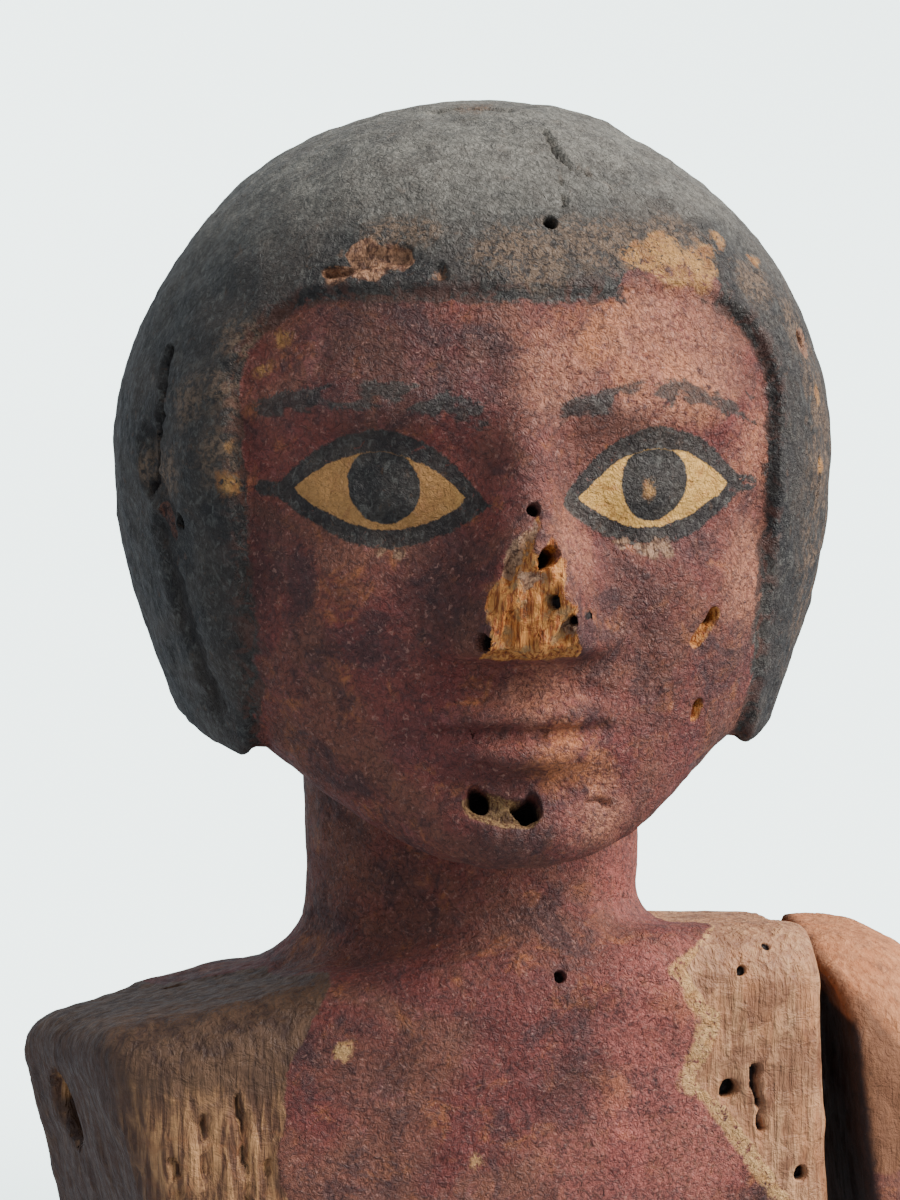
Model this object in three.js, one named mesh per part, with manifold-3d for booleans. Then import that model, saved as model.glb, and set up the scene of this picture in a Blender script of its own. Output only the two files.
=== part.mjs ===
// Head and shoulders of a carved and painted wooden rower from an ancient model boat, cut at the chest.
// Head and torso are one piece of wood. The left upper arm is a second piece, just clear of its joint.
// The right arm is lost, which bares the sawn shoulder with its peg hole.
// Millimetres, +Z up. The chest faces along -Y, so the figure's right side is -X.
// The origin is the middle of the base.
import * as THREE from "three";
import { mergeVertices } from "three/addons/utils/BufferGeometryUtils.js";
import Module from "manifold-3d";

// The head's own heights are counted from HEAD_Z, the level of its widest section
const HEAD_Z = 52;
const CROWN = 21.5;
const CHIN = -22.5;
// The head looks a little to the figure's right, while everything below sets out the head facing along -Y
const HEAD_TURN_DEG = -9;

// Painted hair, worn as a close cap over the ears
const HAIR_HALF_WIDTH = 21.6;
const HAIR_FRONT = 19.9;
const HAIR_BACK = 23;
const HAIR_TAPER = 3.6;
const HAIR_RIM = -15.1;
const HAIR_RIM_SLOPE = 0.12;
const HAIRLINE = 9.8;
const HAIRLINE_CORNER = 5.5;
const OPENING_HALF_WIDTH = 14.8;
const OPENING_HALF_WIDTH_AT_RIM = 13.6;

// Face: eyes at half the head's height, foot of the nose midway from brow to chin
const FACE_HALF_WIDTH = 19.8;
const FACE_FRONT = 19.2;
const FACE_BACK = 17;
const FACE_TOP = 21;
const FOREHEAD_TOP = 22.4;
const FACE_POWER = 2.25;
const CHIN_HALF_WIDTH = 9.2;
const JAW_FULLNESS = 2.9;
const JAW_SLOPE = 0.3;
const JAW_ROUNDING = 3.2;
const EYE_LEVEL = (CROWN + CHIN) / 2;
const BROW_LEVEL = EYE_LEVEL + 4.9;
const NOSE_FOOT = (BROW_LEVEL + CHIN) / 2;
const MOUTH_LEVEL = NOSE_FOOT + (CHIN - NOSE_FOOT) / 3;
const EYE_X = 7.6;
const EYE_HALF_LENGTH = 4.6;
const NOSE_ROOT_HEIGHT = 1;
const NOSE_TIP_HEIGHT = 4.8;
const NOSE_BREAK_HEIGHT = 2.9;

// Neck
const NECK_HALF_WIDTH = 10.3;
const NECK_HALF_DEPTH = 10.4;
const NECK_X = 0.4;
const NECK_Y = 1.5;
const NECK_FLARE = 1.8;
const NECK_FLARE_HEIGHT = 6;

// Torso, sawn off at a joint on each side
const TORSO_TOP = 23.5;
const TORSO_HALF_WIDTH = 32.5;
const TORSO_HALF_DEPTH = 12.6;
const TORSO_Y = 1;
const TORSO_POWER = 2.6;
const SHOULDER_FALL = 0.12;
const SHOULDER_TILT = 0.06;
const SHOULDER_FALL_BACK = 0.16;
const SHOULDER_ROUNDING = 4;

// Joint planes: x where each crosses the torso's middle depth at JOINT_Z, turn forward, and lean
const JOINT_Z = 17.4;
const JOINT_TOE = THREE.MathUtils.degToRad(11);
const RIGHT_JOINT_X = -26;
const RIGHT_JOINT_LEAN = THREE.MathUtils.degToRad(-14);
const LEFT_JOINT_X = 21.4;
const LEFT_JOINT_LEAN = THREE.MathUtils.degToRad(4);
const PEG_HOLE_RADIUS = 2.2;
const PEG_HOLE_DEPTH = 8;
const PEG_HOLE_Y = 1.2;
const PEG_HOLE_Z = 13.2;

// Left arm: its shoulder all but touches the joint, and its side hangs well clear of it.
// Each gap is measured square to the joint, and each lean counts from the joint's own.
const ARM_GAP_TOP = 0.6;
const ARM_GAP_LEAN = THREE.MathUtils.degToRad(35);
const ARM_SIDE_GAP = 2.1;
const ARM_SIDE_LEAN = THREE.MathUtils.degToRad(1.2);
const ARM_TOP = 21.6;
const ARM_HALF_WIDTH = 8;
const ARM_HALF_DEPTH = 8.4;
const ARM_X = 22.6;
const ARM_SPLAY = 0.13;
const ARM_REACH = 0.22;
const ARM_ROUNDING = 6;

const OUTSIDE = 60;
const FULL_TURN = Math.PI * 2;

const wasm = await Module();
wasm.setup();

function smooth(from, to, value) {
  const t = THREE.MathUtils.clamp((value - from) / (to - from), 0, 1);
  return t * t * (3 - 2 * t);
}
const bell = (value, halfWidth, power = 2) => Math.exp(-Math.pow(Math.abs(value / halfWidth), power));
const dome = (height, top) => Math.sqrt(Math.max(0, 1 - (height / top) ** 2));

// How far a rounded end of the given radius draws its section in, at a height above or below that end
function roundedInset(radius, heightInside) {
  const short = Math.max(0, radius - heightInside);
  return radius - Math.sqrt(Math.max(0, radius ** 2 - short ** 2));
}

// A point of a superellipse whose front and back halves may differ
function sectionPoint(section, angle) {
  const across = Math.cos(angle);
  const along = Math.sin(angle);
  const bulge = 2 / section.power;
  const depth = along < 0 ? section.front : section.back;
  return new THREE.Vector3(
    section.x + section.halfWidth * Math.sign(across) * Math.abs(across) ** bulge,
    section.y + depth * Math.sign(along) * Math.abs(along) ** bulge,
    section.z,
  );
}

// A closed solid through sections listed from the bottom up. The share given crowds columns to the front.
function loft(sections, columns, crowding = 0, shape = (point) => point) {
  const points = [];
  for (const section of sections)
    for (let column = 0; column < columns; column++) {
      const turn = (column / columns) * FULL_TURN;
      const angle = turn - crowding * Math.sin(turn) - Math.PI / 2;
      points.push(shape(sectionPoint(section, angle), section));
    }
  const rows = sections.length;
  const middle = (row) => {
    const ring = points.slice(row * columns, (row + 1) * columns);
    return ring.reduce((sum, point) => sum.add(point), new THREE.Vector3()).divideScalar(columns);
  };
  const bottom = points.push(middle(0)) - 1;
  const top = points.push(middle(rows - 1)) - 1;
  const faces = [];
  for (let column = 0; column < columns; column++) {
    const next = (column + 1) % columns;
    faces.push(bottom, next, column);
    for (let row = 0; row < rows - 1; row++) {
      const low = row * columns;
      const high = low + columns;
      faces.push(low + column, low + next, high + next, low + column, high + next, high + column);
    }
    faces.push(top, (rows - 1) * columns + column, (rows - 1) * columns + next);
  }
  return new THREE.BufferGeometry().setFromPoints(points).setIndex(faces);
}

function solid(geometry) {
  const plain = geometry.clone();
  plain.deleteAttribute("normal");
  plain.deleteAttribute("uv");
  const merged = mergeVertices(plain, 1e-4);
  return new wasm.Manifold(
    new wasm.Mesh({
      numProp: 3,
      vertProperties: merged.attributes.position.array,
      triVerts: new Uint32Array(merged.index.array),
    }),
  );
}

// A big block that starts at a plane through the point and reaches away along the normal
function halfSpace(point, normal) {
  const block = new THREE.BoxGeometry(2 * OUTSIDE, 2 * OUTSIDE, OUTSIDE);
  block.translate(0, 0, OUTSIDE / 2);
  const turn = new THREE.Quaternion().setFromUnitVectors(new THREE.Vector3(0, 0, 1), normal);
  block.applyQuaternion(turn);
  return solid(block.translate(point.x, point.y, point.z));
}

const levels = (from, to, count, ease = (t) => t) =>
  Array.from({ length: count }, (_, i) => THREE.MathUtils.lerp(from, to, ease(i / (count - 1))));
const slowAtTop = (t) => Math.sin((t * Math.PI) / 2);

// Height of the carved features over the plain face. Height z is counted from HEAD_Z.
function faceRelief(x, z) {
  const side = Math.abs(x);
  const down = smooth(BROW_LEVEL, NOSE_FOOT, z);
  const noseHeight = THREE.MathUtils.lerp(NOSE_ROOT_HEIGHT, NOSE_TIP_HEIGHT, down);
  const noseHalfWidth = THREE.MathUtils.lerp(1.7, 3.5, down);
  const noseRoot = smooth(BROW_LEVEL + 1.5, BROW_LEVEL - 2.5, z);
  const noseFoot = smooth(NOSE_FOOT - 0.9, NOSE_FOOT + 0.6, z);
  const nose = Math.min(noseHeight * bell(x, noseHalfWidth, 2.4), NOSE_BREAK_HEIGHT) * noseRoot * noseFoot;
  const browArch = BROW_LEVEL - 0.1 * Math.max(0, side - EYE_X);
  const brow = 0.5 * bell(z - browArch, 1.6) * bell(side - EYE_X, 6, 4);
  const socket = -1 * bell(side - EYE_X, EYE_HALF_LENGTH + 0.6, 3) * bell(z - EYE_LEVEL, 3.1, 3);
  const eye = 0.9 * bell(side - EYE_X, EYE_HALF_LENGTH - 0.6, 3) * bell(z - EYE_LEVEL, 1.9, 2.4);
  const lipWidth = bell(x, 4.3, 4);
  const upperLip = 0.9 * bell(z - MOUTH_LEVEL - 0.85, 0.8) * lipWidth;
  const lowerLip = 1 * bell(z - MOUTH_LEVEL + 1, 0.9) * lipWidth;
  const mouthLine = -0.35 * bell(z - MOUTH_LEVEL, 0.35) * bell(x, 4.6, 4);
  const chin = 0.9 * bell(x, 4.6, 2.4) * bell(z - CHIN - 4, 2.8);
  return nose + brow + socket + eye + upperLip + lowerLip + mouthLine + chin;
}

function faceHalfWidth(z) {
  if (z > 0) return FACE_HALF_WIDTH * dome(z, FACE_TOP);
  return THREE.MathUtils.lerp(FACE_HALF_WIDTH, CHIN_HALF_WIDTH, (z / CHIN) ** JAW_FULLNESS);
}

function hairHalfWidth(z) {
  if (z > 0) return HAIR_HALF_WIDTH * dome(z, CROWN);
  return HAIR_HALF_WIDTH - HAIR_TAPER * (z / HAIR_RIM) ** 1.6;
}

const hairDepth = (depth, z) => (z > 0 ? depth * dome(z, CROWN) : depth - 1.2 * (z / HAIR_RIM) ** 2);

function faceSolid() {
  const sections = levels(CHIN, HAIRLINE + 2, 44).map((z) => {
    const inset = roundedInset(JAW_ROUNDING, z - CHIN);
    return {
      x: 0,
      y: 0,
      z: HEAD_Z + z,
      halfWidth: faceHalfWidth(z) - inset,
      front: FACE_FRONT * (z > 0 ? dome(z, FOREHEAD_TOP) : 1) - inset,
      back: FACE_BACK - inset,
      power: FACE_POWER,
    };
  });
  const jawFade = (z) => smooth(CHIN + 12, CHIN, z);
  return solid(
    loft(sections, 72, 0.5, (point, section) => {
      const z = section.z - HEAD_Z;
      const facing = smooth(-4, -11, point.y);
      point.z += JAW_SLOPE * (point.y + section.front) * jawFade(z);
      point.y -= faceRelief(point.x, z) * facing;
      return point;
    }),
  );
}

function hairSolid() {
  const lowest = HAIR_RIM - 4;
  const heights = [...levels(lowest, 0, 8), ...levels(0, CROWN - 0.15, 13, slowAtTop).slice(1)];
  const sections = heights.map((z) => ({
    x: 0,
    y: 0,
    z: HEAD_Z + z,
    halfWidth: hairHalfWidth(z),
    front: hairDepth(HAIR_FRONT, z),
    back: hairDepth(HAIR_BACK, z),
    power: 2.15,
  }));
  const underRim = new THREE.Vector3(0, HAIR_RIM_SLOPE, -1).normalize();
  return solid(loft(sections, 60, 0.25))
    .subtract(halfSpace(new THREE.Vector3(0, 0, HEAD_Z + HAIR_RIM), underRim))
    .subtract(faceOpening());
}

// The outline of the hairline and the two inner edges of the hair, run back into the head
function faceOpening() {
  const outline = new THREE.Shape();
  const side = OPENING_HALF_WIDTH;
  const corner = HAIRLINE_CORNER;
  outline.moveTo(-OPENING_HALF_WIDTH_AT_RIM, HAIR_RIM - 2);
  outline.lineTo(-OPENING_HALF_WIDTH_AT_RIM, HAIR_RIM - 6);
  outline.lineTo(OPENING_HALF_WIDTH_AT_RIM, HAIR_RIM - 6);
  outline.lineTo(OPENING_HALF_WIDTH_AT_RIM, HAIR_RIM - 2);
  outline.lineTo(side, HAIRLINE - corner);
  outline.absarc(side - corner, HAIRLINE - corner, corner, 0, Math.PI / 2);
  outline.lineTo(-side + corner, HAIRLINE);
  outline.absarc(-side + corner, HAIRLINE - corner, corner, Math.PI / 2, Math.PI);
  outline.closePath();
  const run = new THREE.ExtrudeGeometry(outline, { depth: OUTSIDE, bevelEnabled: false, curveSegments: 6 });
  return solid(run.rotateX(Math.PI / 2).translate(0, 0, HEAD_Z));
}

function neckSolid() {
  const foot = TORSO_TOP - 6;
  const sections = levels(foot, HEAD_Z - 14, 11).map((z) => {
    const flareFoot = TORSO_TOP - 3.5;
    const flare = NECK_FLARE * (1 - smooth(flareFoot, flareFoot + NECK_FLARE_HEIGHT, z)) ** 2;
    return {
      x: NECK_X,
      y: NECK_Y,
      z,
      halfWidth: NECK_HALF_WIDTH + flare,
      front: NECK_HALF_DEPTH + flare * 0.5,
      back: NECK_HALF_DEPTH + flare * 0.5,
      power: 2,
    };
  });
  return solid(loft(sections, 40));
}

// Height of the shoulders. They fall to both sides, a little more on the right, and slightly to the back.
function shoulderHeight(x, y) {
  const fallSideways = SHOULDER_FALL * Math.sqrt(x ** 2 + 9) - SHOULDER_TILT * x;
  return TORSO_TOP - fallSideways - SHOULDER_FALL_BACK * (y - TORSO_Y);
}

function jointPlane(x, toe, lean, side) {
  const outwards = side * Math.cos(toe) * Math.cos(lean);
  const forwards = Math.sin(toe) * Math.cos(lean);
  return {
    point: new THREE.Vector3(x, TORSO_Y, JOINT_Z),
    normal: new THREE.Vector3(outwards, -forwards, Math.sin(lean)),
  };
}
const RIGHT_JOINT = jointPlane(RIGHT_JOINT_X, JOINT_TOE, RIGHT_JOINT_LEAN, -1);
const LEFT_JOINT = jointPlane(LEFT_JOINT_X, JOINT_TOE, LEFT_JOINT_LEAN, 1);

function torsoSolid() {
  const sections = [0, ...levels(TORSO_TOP - SHOULDER_ROUNDING - 1, TORSO_TOP, 9)].map((z) => {
    const inset = roundedInset(SHOULDER_ROUNDING, TORSO_TOP - z);
    return {
      x: 0,
      y: TORSO_Y,
      z,
      halfWidth: TORSO_HALF_WIDTH,
      front: TORSO_HALF_DEPTH - inset,
      back: TORSO_HALF_DEPTH - inset,
      power: TORSO_POWER,
    };
  });
  return solid(
    loft(sections, 64, 0, (point) => {
      point.z *= shoulderHeight(point.x, point.y) / TORSO_TOP;
      return point;
    }),
  )
    .subtract(halfSpace(RIGHT_JOINT.point, RIGHT_JOINT.normal))
    .subtract(halfSpace(LEFT_JOINT.point, LEFT_JOINT.normal))
    .subtract(pegHole());
}

function pegHole() {
  const shaft = new THREE.CylinderGeometry(PEG_HOLE_RADIUS, PEG_HOLE_RADIUS, 2 * PEG_HOLE_DEPTH, 20);
  const { point, normal } = RIGHT_JOINT;
  shaft.applyQuaternion(new THREE.Quaternion().setFromUnitVectors(new THREE.Vector3(0, 1, 0), normal));
  const y = point.y + PEG_HOLE_Y;
  const x = point.x - (normal.y * PEG_HOLE_Y + normal.z * (PEG_HOLE_Z - point.z)) / normal.x;
  return solid(shaft.translate(x, y, PEG_HOLE_Z));
}

function armSolid() {
  const sections = [0, ...levels(ARM_TOP - ARM_ROUNDING - 2, ARM_TOP, 11)].map((z) => {
    const inset = roundedInset(ARM_ROUNDING, ARM_TOP - z);
    const drop = ARM_TOP - z;
    return {
      x: ARM_X + ARM_SPLAY * drop,
      y: TORSO_Y - 0.5 - ARM_REACH * drop,
      z,
      halfWidth: ARM_HALF_WIDTH - inset,
      front: ARM_HALF_DEPTH - inset,
      back: ARM_HALF_DEPTH - inset,
      power: 2.2,
    };
  });
  const shoulderGap = gapBeside(ARM_TOP - 1, ARM_GAP_TOP, ARM_GAP_LEAN);
  const sideGap = gapBeside(JOINT_Z, ARM_SIDE_GAP, ARM_SIDE_LEAN);
  return solid(loft(sections, 40)).subtract(shoulderGap.intersect(sideGap));
}

// The space on the torso's side of a plane that stands off the left joint by a gap at the given height
function gapBeside(height, gap, lean) {
  const { point, normal } = LEFT_JOINT;
  const rise = height - point.z;
  const start = point.clone().addScaledVector(normal, gap);
  start.x -= (normal.z / normal.x) * rise;
  start.z += rise;
  return halfSpace(start, jointPlane(0, JOINT_TOE, LEFT_JOINT_LEAN + lean, 1).normal.negate());
}

const RED = new THREE.MeshStandardMaterial({ color: 0x6e352f, roughness: 0.85, metalness: 0 });
const BARE_WOOD = new THREE.MeshStandardMaterial({ color: 0xa07452, roughness: 0.9, metalness: 0 });

function piece(name, body, material) {
  const made = body.getMesh();
  const geometry = new THREE.BufferGeometry();
  geometry.setAttribute("position", new THREE.BufferAttribute(made.vertProperties, 3));
  geometry.setIndex(new THREE.BufferAttribute(made.triVerts, 1));
  geometry.computeVertexNormals();
  const mesh = new THREE.Mesh(geometry, material);
  mesh.name = name;
  return mesh;
}

const figure = new THREE.Group();
const head = faceSolid().add(hairSolid()).rotate([0, 0, HEAD_TURN_DEG]);
const headAndTorso = head.add(neckSolid()).add(torsoSolid());
figure.add(piece("head_and_torso", headAndTorso, RED));
figure.add(piece("left_arm", armSolid(), BARE_WOOD));

export default figure;
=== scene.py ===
"""Head and shoulders of a carved and painted wooden rower, from a soft formula of its form.

Each CAD node is copied, remeshed finely and drawn onto the formula, then worn and broken. Lengths are
millimetres until the mesh is written. Painted areas are stored on the vertices as distances to their
edges, so that the paint material can draw sharp or ragged edges between vertices.
"""
import math

import bmesh
import bpy
import numpy as np
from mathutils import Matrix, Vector


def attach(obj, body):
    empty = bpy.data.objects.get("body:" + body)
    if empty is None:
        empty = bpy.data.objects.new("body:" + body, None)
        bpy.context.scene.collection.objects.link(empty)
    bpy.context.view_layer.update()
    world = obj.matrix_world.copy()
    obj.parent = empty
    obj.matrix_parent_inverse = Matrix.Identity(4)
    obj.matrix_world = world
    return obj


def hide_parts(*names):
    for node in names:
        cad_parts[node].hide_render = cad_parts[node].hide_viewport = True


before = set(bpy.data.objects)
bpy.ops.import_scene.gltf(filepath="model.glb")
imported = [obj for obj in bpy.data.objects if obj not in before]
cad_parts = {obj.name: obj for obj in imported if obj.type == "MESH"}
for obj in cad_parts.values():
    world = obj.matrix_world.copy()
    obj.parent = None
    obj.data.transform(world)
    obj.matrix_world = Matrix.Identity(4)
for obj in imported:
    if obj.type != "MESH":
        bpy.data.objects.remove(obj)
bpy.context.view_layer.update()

MM = 0.001

# The head's own heights are counted from HEAD_Z, and its own -Y is turned from the chest's
HEAD_Z = 52.0
HEAD_TURN = math.radians(-9)
CROWN = 21.5
CHIN = -22.5
HAIR_HALF_WIDTH = 21.6
HAIR_FRONT = 19.9
HAIR_BACK = 23.0
HAIR_RIM = -15.1
HAIRLINE = 9.8
EYE_LEVEL = (CROWN + CHIN) / 2
BROW_LEVEL = EYE_LEVEL + 4.9
NOSE_FOOT = (BROW_LEVEL + CHIN) / 2
MOUTH_LEVEL = NOSE_FOOT + (CHIN - NOSE_FOOT) / 3
EYE_X = 7.6
FACE_FRONT = 19.2
FACE_HALF_WIDTH = 19.8

NECK_X = 0.4
NECK_Y = 1.5
TORSO_TOP = 23.5
TORSO_Y = 1.0
TORSO_HALF_WIDTH = 32.5
TORSO_HALF_DEPTH = 12.6
TORSO_ROUNDING = 4
TORSO_POWER = 2.6
JOINT_Z = 17.4
JOINT_TOE = math.radians(11)
LEFT_LEAN_DEG = 4
RIGHT_LEAN_DEG = -14
PEG_BEHIND_JOINT = 1.2
PEG_Z = 13.2
PEG_RADIUS = 2.2
PEG_DEPTH = 8
CUT_ROUNDING = 0.25

ARM_TOP = 21.6
ARM_HALF_WIDTH = 8
ARM_HALF_DEPTH = 8.4
ARM_CROWN = 6  # height of the arm's rounded top
# The two planes of the arm's inner side: height, gap to the joint there, further lean in degrees
ARM_GAP_ABOVE = (20.6, 0.6, 35)
ARM_GAP_BELOW = (JOINT_Z, 2.1, 1.2)

ROUGH_VOXEL = 0.8
FINE_VOXEL = 0.66
FRONT_STRETCH = 1.5
FRONT_SPREAD = 0.8
SPREAD_MIDDLE = 46

NOWHERE = -9.0  # distance inside an area that a point is nowhere near
SPECULAR = 0.36
NECK_FOOT = (28 * MM, 32 * MM)  # heights between which the chest's colours give way to the head's


# Helpers for numbers

def smooth(start, end, value):
    t = np.clip((value - start) / (end - start), 0, 1)
    return t * t * (3 - 2 * t)


def bell(value, half_width, power=2):
    return np.exp(-np.abs(value / half_width) ** power)


def soft_min(a, b, radius):
    h = np.clip(0.5 + 0.5 * (b - a) / radius, 0, 1)
    return b * (1 - h) + a * h - radius * h * (1 - h)


def soft_max(a, b, radius):
    return -soft_min(-a, -b, radius)


def lattice(cell, seed):
    """A random number from -1 to 1 for each whole-number cell."""
    mixed = cell[:, 0] * 73856093 ^ cell[:, 1] * 19349663 ^ cell[:, 2] * 83492791
    mixed ^= seed * 2654435761 & 0xFFFFFFF
    mixed = (mixed ^ (mixed >> 13)) * 1274126177 & 0x7FFFFFFF
    mixed = (mixed ^ (mixed >> 16)) * 668265263 & 0x7FFFFFFF
    return (mixed & 0xFFFFFF) / 0x7FFFFF - 1.0


def noise(points, size, seed=0):
    """Smooth noise from about -1 to 1 with lumps of the given size, one number or three."""
    scaled = points / np.asarray(size) + 1000.37
    cell = np.floor(scaled).astype(np.int64)
    part = scaled - cell
    part = part * part * part * (part * (part * 6 - 15) + 10)
    total = np.zeros(len(points))
    for corner in range(8):
        step = np.array([corner & 1, corner >> 1 & 1, corner >> 2 & 1])
        weight = np.prod(np.where(step, part, 1 - part), axis=1)
        total += weight * lattice(cell + step, seed)
    return total


def layered_noise(points, size, seed=0, octaves=3):
    size = np.asarray(size, float)
    return sum(noise(points, size / 2 ** i, seed + i) / 2 ** i for i in range(octaves)) / 1.5


def in_head(points):
    """The points in the head's own frame."""
    x, y, z = points.T
    across, along = math.cos(HEAD_TURN), math.sin(HEAD_TURN)
    return across * x + along * y, across * y - along * x, z - HEAD_Z


def from_head(x, y, z):
    across, along = math.cos(HEAD_TURN), math.sin(HEAD_TURN)
    return across * x - along * y, across * y + along * x, z + HEAD_Z


# The carved form: each function is about zero on the surface, and negative inside

def superellipse(x, y, half_width, front, back, power):
    depth = np.where(y < 0, front, back)
    return (np.abs(x / half_width) ** power + np.abs(y / depth) ** power) ** (1 / power)


def nose_shape(x, z):
    """Height of the whole nose over the face, and how much of its height the break has taken."""
    down = smooth(BROW_LEVEL, NOSE_FOOT, z)
    height = 1.0 + 3.8 * down
    half_width = 1.7 + 1.8 * down
    ends = smooth(BROW_LEVEL + 1.5, BROW_LEVEL - 2.5, z) * smooth(NOSE_FOOT - 0.9, NOSE_FOOT + 0.6, z)
    whole = height * bell(x, half_width, 2.4)
    uneven = 0.35 * np.sin(2.3 * x + 0.8) * np.sin(1.5 * z + 0.6) + 0.18 * np.sin(4.1 * x - 2.2 * z)
    return whole * ends, (whole - 2.9 - uneven) * ends


def face_relief(x, z):
    side = np.abs(x)
    whole, over = nose_shape(x, z)
    lost = np.maximum(over, 0)
    brow = 0.5 * bell(z - BROW_LEVEL + 0.1 * np.maximum(0, side - EYE_X), 1.6) * bell(side - EYE_X, 6, 4)
    socket = -1.0 * bell(side - EYE_X, 5.2, 3) * bell(z - EYE_LEVEL, 3.1, 3)
    eye = 0.9 * bell(side - EYE_X, 4.0, 3) * bell(z - EYE_LEVEL, 1.9, 2.4)
    across_lips = bell(x, 4.3, 4)
    cupid = 0.3 * bell(side - 1.2, 1.2) - 0.25 * bell(x, 0.7)
    upper_lip = 1.1 * bell(z - MOUTH_LEVEL - 0.95 - cupid * 0.5, 0.85) * across_lips
    lower_lip = 1.25 * bell(z - MOUTH_LEVEL + 1.05, 0.95) * bell(x, 3.6, 3.4)
    mouth_line = -0.65 * bell(z - MOUTH_LEVEL - 0.008 * side ** 2, 0.34) * bell(x, 4.7, 5)
    mouth = upper_lip + lower_lip + mouth_line
    philtrum = -0.25 * bell(x, 0.8) * bell(z - (MOUTH_LEVEL + NOSE_FOOT) / 2 - 0.5, 1.4)
    under_lip = -0.45 * bell(x, 4.0) * bell(z - MOUTH_LEVEL + 3.2, 0.9)
    cheek = 0.5 * bell(side - 9.8, 4.6) * bell(z + 7.2, 4.6)
    chin = 1.0 * bell(x, 4.4, 2.4) * bell(z - CHIN - 3.8, 2.6)
    ridge = 0.35 * np.exp(-side / 1.6) * smooth(HAIRLINE + 2, BROW_LEVEL, z)
    ridge *= smooth(BROW_LEVEL - 6, BROW_LEVEL, z)
    return whole - lost + brow + socket + eye + mouth + philtrum + under_lip + cheek + chin + ridge


def face_form(x, y, z):
    level = z.copy()
    for _ in range(10):  # the jaw's edge rises towards the back
        raised = 0.3 * (y + FACE_FRONT) * smooth(CHIN + 12, CHIN, level)
        level += 0.6 * (z - raised - level)
    y = y + face_relief(x, level) * smooth(-4, -11, y)
    width_dome = np.sqrt(np.clip(1 - (level / 21.0) ** 2, 0.05, 1))
    front_dome = np.sqrt(np.clip(1 - (level / 22.4) ** 2, 0.05, 1))
    jaw = FACE_HALF_WIDTH - 10.6 * np.clip(level / CHIN, 0, 1.2) ** 2.9
    half_width = np.where(level > 0, FACE_HALF_WIDTH * width_dome, jaw)
    front = np.where(level > 0, FACE_FRONT * front_dome, FACE_FRONT)
    side = (superellipse(x, y, half_width, front, 17.0, 2.25) - 1) * 15
    side = soft_max(side, CHIN - level, 3.6)
    return np.maximum(side, z - HAIRLINE - 3)


def opening_distance(x, z):
    """Distance outside the face opening of the hair, negative on the face's side."""
    corner = 5.5
    half_width = 13.6 + 1.2 * np.clip((z - HAIR_RIM + 2) / (HAIRLINE - corner - HAIR_RIM + 2), 0, 1)
    over_x = np.abs(x) - (half_width - corner)
    over_z = z - (HAIRLINE - corner)
    outside = np.hypot(np.maximum(over_x, 0), np.maximum(over_z, 0))
    return outside + np.minimum(np.maximum(over_x, over_z), 0) - corner


def hair_form(x, y, z):
    down = np.clip(z / HAIR_RIM, 0, 2)
    half_width = HAIR_HALF_WIDTH - 3.6 * down ** 1.6
    inwards = 1.2 * down ** 2
    section = superellipse(x, y, half_width, HAIR_FRONT - inwards, HAIR_BACK - inwards, 2.15)
    cap = (np.sqrt(section ** 2 + (np.maximum(z, 0) / CROWN) ** 2) - 1) * 20
    rim = HAIR_RIM + 0.12 * y - z
    cap = soft_max(cap, rim, 1.4)
    clear_of_face = np.maximum(opening_distance(x, z), (y + 4) / 2)
    cap += 2.4 * (1 - smooth(-1.3, 1.3, clear_of_face))
    return cap + 4 * (1 - smooth(-4.5, -1.3, clear_of_face))


def neck_form(x, y, z):
    flare = 1.8 * (1 - smooth(TORSO_TOP - 3.5, TORSO_TOP + 2.5, z)) ** 2
    around = np.hypot((x - NECK_X) / (10.3 + flare), (y - NECK_Y) / (10.4 + 0.5 * flare))
    tall = np.maximum(z - (HEAD_Z - 14), TORSO_TOP - 6 - z)
    return np.maximum((around - 1) * 10, tall)


def joint_plane(x, lean, side):
    """A point on the flat face for an arm, and its outward direction."""
    across = side * math.cos(JOINT_TOE) * math.cos(lean)
    normal = (across, -math.sin(JOINT_TOE) * math.cos(lean), math.sin(lean))
    return np.array([x, TORSO_Y, JOINT_Z]), np.array(normal)


RIGHT_JOINT = joint_plane(-26, math.radians(RIGHT_LEAN_DEG), -1)
LEFT_JOINT = joint_plane(21.4, math.radians(LEFT_LEAN_DEG), 1)


def beyond(plane, points):
    return (points - plane[0]) @ plane[1]


def peg_distance(points):
    """Distance from the axis of the peg hole, and the way along it from the joint face outwards."""
    point, normal = RIGHT_JOINT
    rise = PEG_Z - point[2]
    centre_x = point[0] - (normal[1] * PEG_BEHIND_JOINT + normal[2] * rise) / normal[0]
    away = points - np.array([centre_x, point[1] + PEG_BEHIND_JOINT, PEG_Z])
    along = away @ normal
    return np.linalg.norm(away - along[:, None] * normal, axis=1), along


def torso_form(points):
    x, y, z = points.T
    height = TORSO_TOP - 0.12 * np.sqrt(x ** 2 + 9) + 0.06 * x - 0.16 * (y - TORSO_Y)
    level = z * TORSO_TOP / height
    share = np.clip(1 - np.abs(x / TORSO_HALF_WIDTH) ** TORSO_POWER, 0.01, 1) ** (1 / TORSO_POWER)
    over_y = np.abs(y - TORSO_Y) - (TORSO_HALF_DEPTH * share - TORSO_ROUNDING)
    over_z = level - (TORSO_TOP - TORSO_ROUNDING)
    outside = np.hypot(np.maximum(over_y, 0), np.maximum(over_z, 0))
    return outside + np.minimum(np.maximum(over_y, over_z), 0) - TORSO_ROUNDING


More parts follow.
